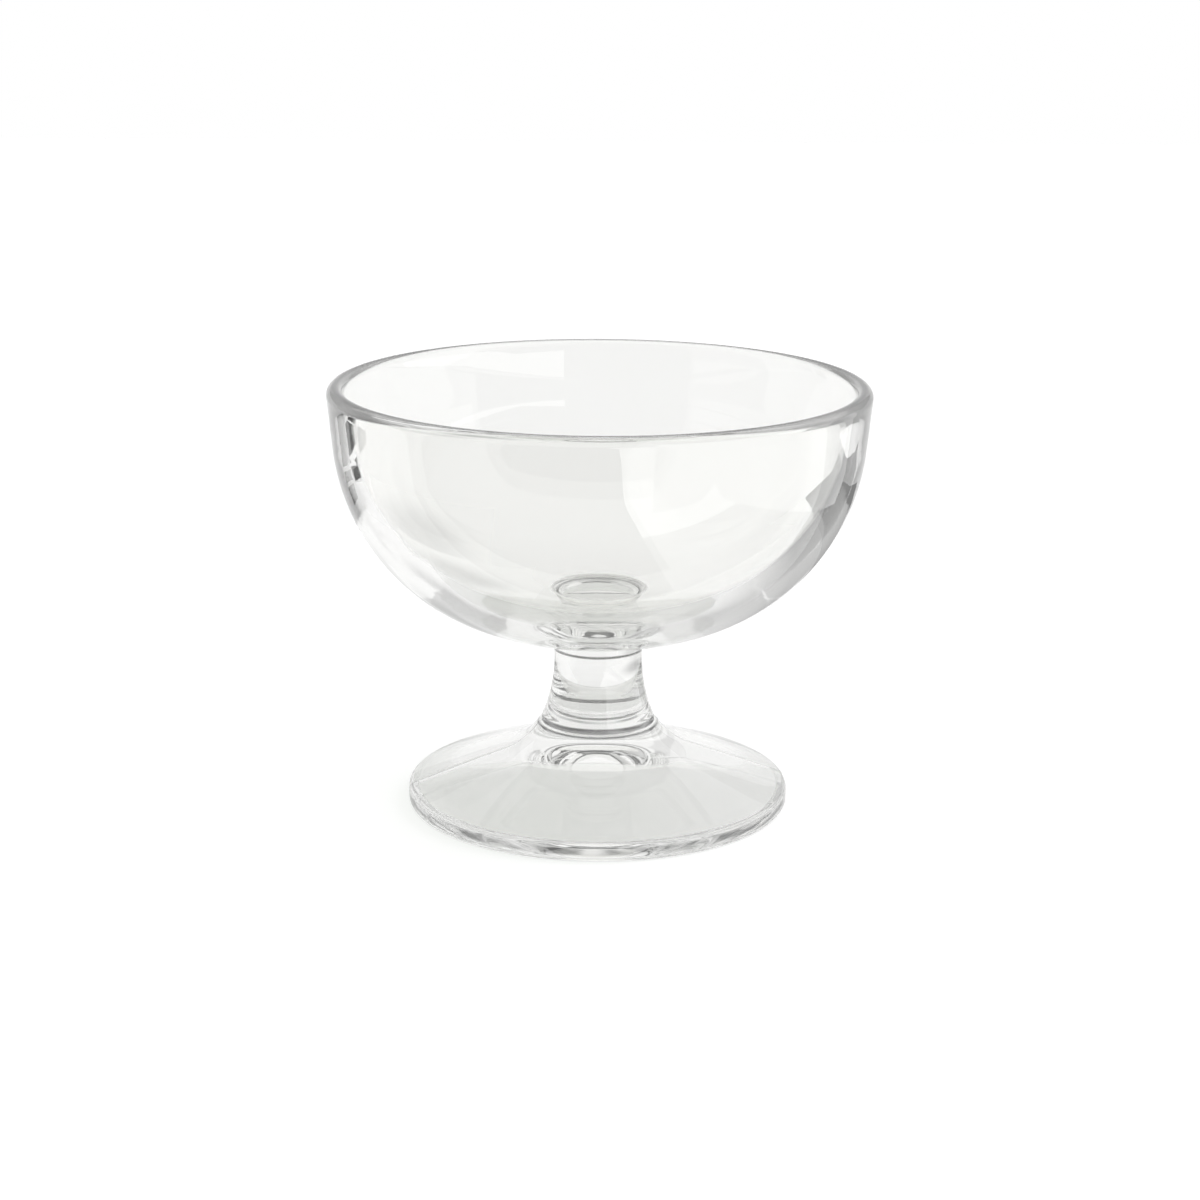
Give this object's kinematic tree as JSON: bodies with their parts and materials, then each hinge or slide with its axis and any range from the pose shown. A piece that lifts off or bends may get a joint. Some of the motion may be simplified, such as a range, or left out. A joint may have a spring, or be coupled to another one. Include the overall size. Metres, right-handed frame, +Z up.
{
  "type": "dessert bowl",
  "caption": "Footed clear glass dessert bowl: round deep bowl with a rounded-over rim on a short waisted stem and a broad conical foot, hollow beneath.",
  "frame": {"origin": "centre of the foot, on the table", "axes": "+Z up along the axis of the turned form, -Y towards the camera of the picture, +X to its right"},
  "size_m": [0.11, 0.11, 0.088],
  "materials": {
    "bowl_glass": "clear soda-lime glass, fire-polished, with faint waves from pressing",
    "stem_glass": "clear soda-lime glass, fire-polished",
    "foot_glass": "clear soda-lime glass, fire-polished, with two fine mould seams on top"
  },
  "bodies": {
    "root": {"bowl": "bowl_glass", "stem": "stem_glass", "foot": "foot_glass"}
  },
  "joints": []
}
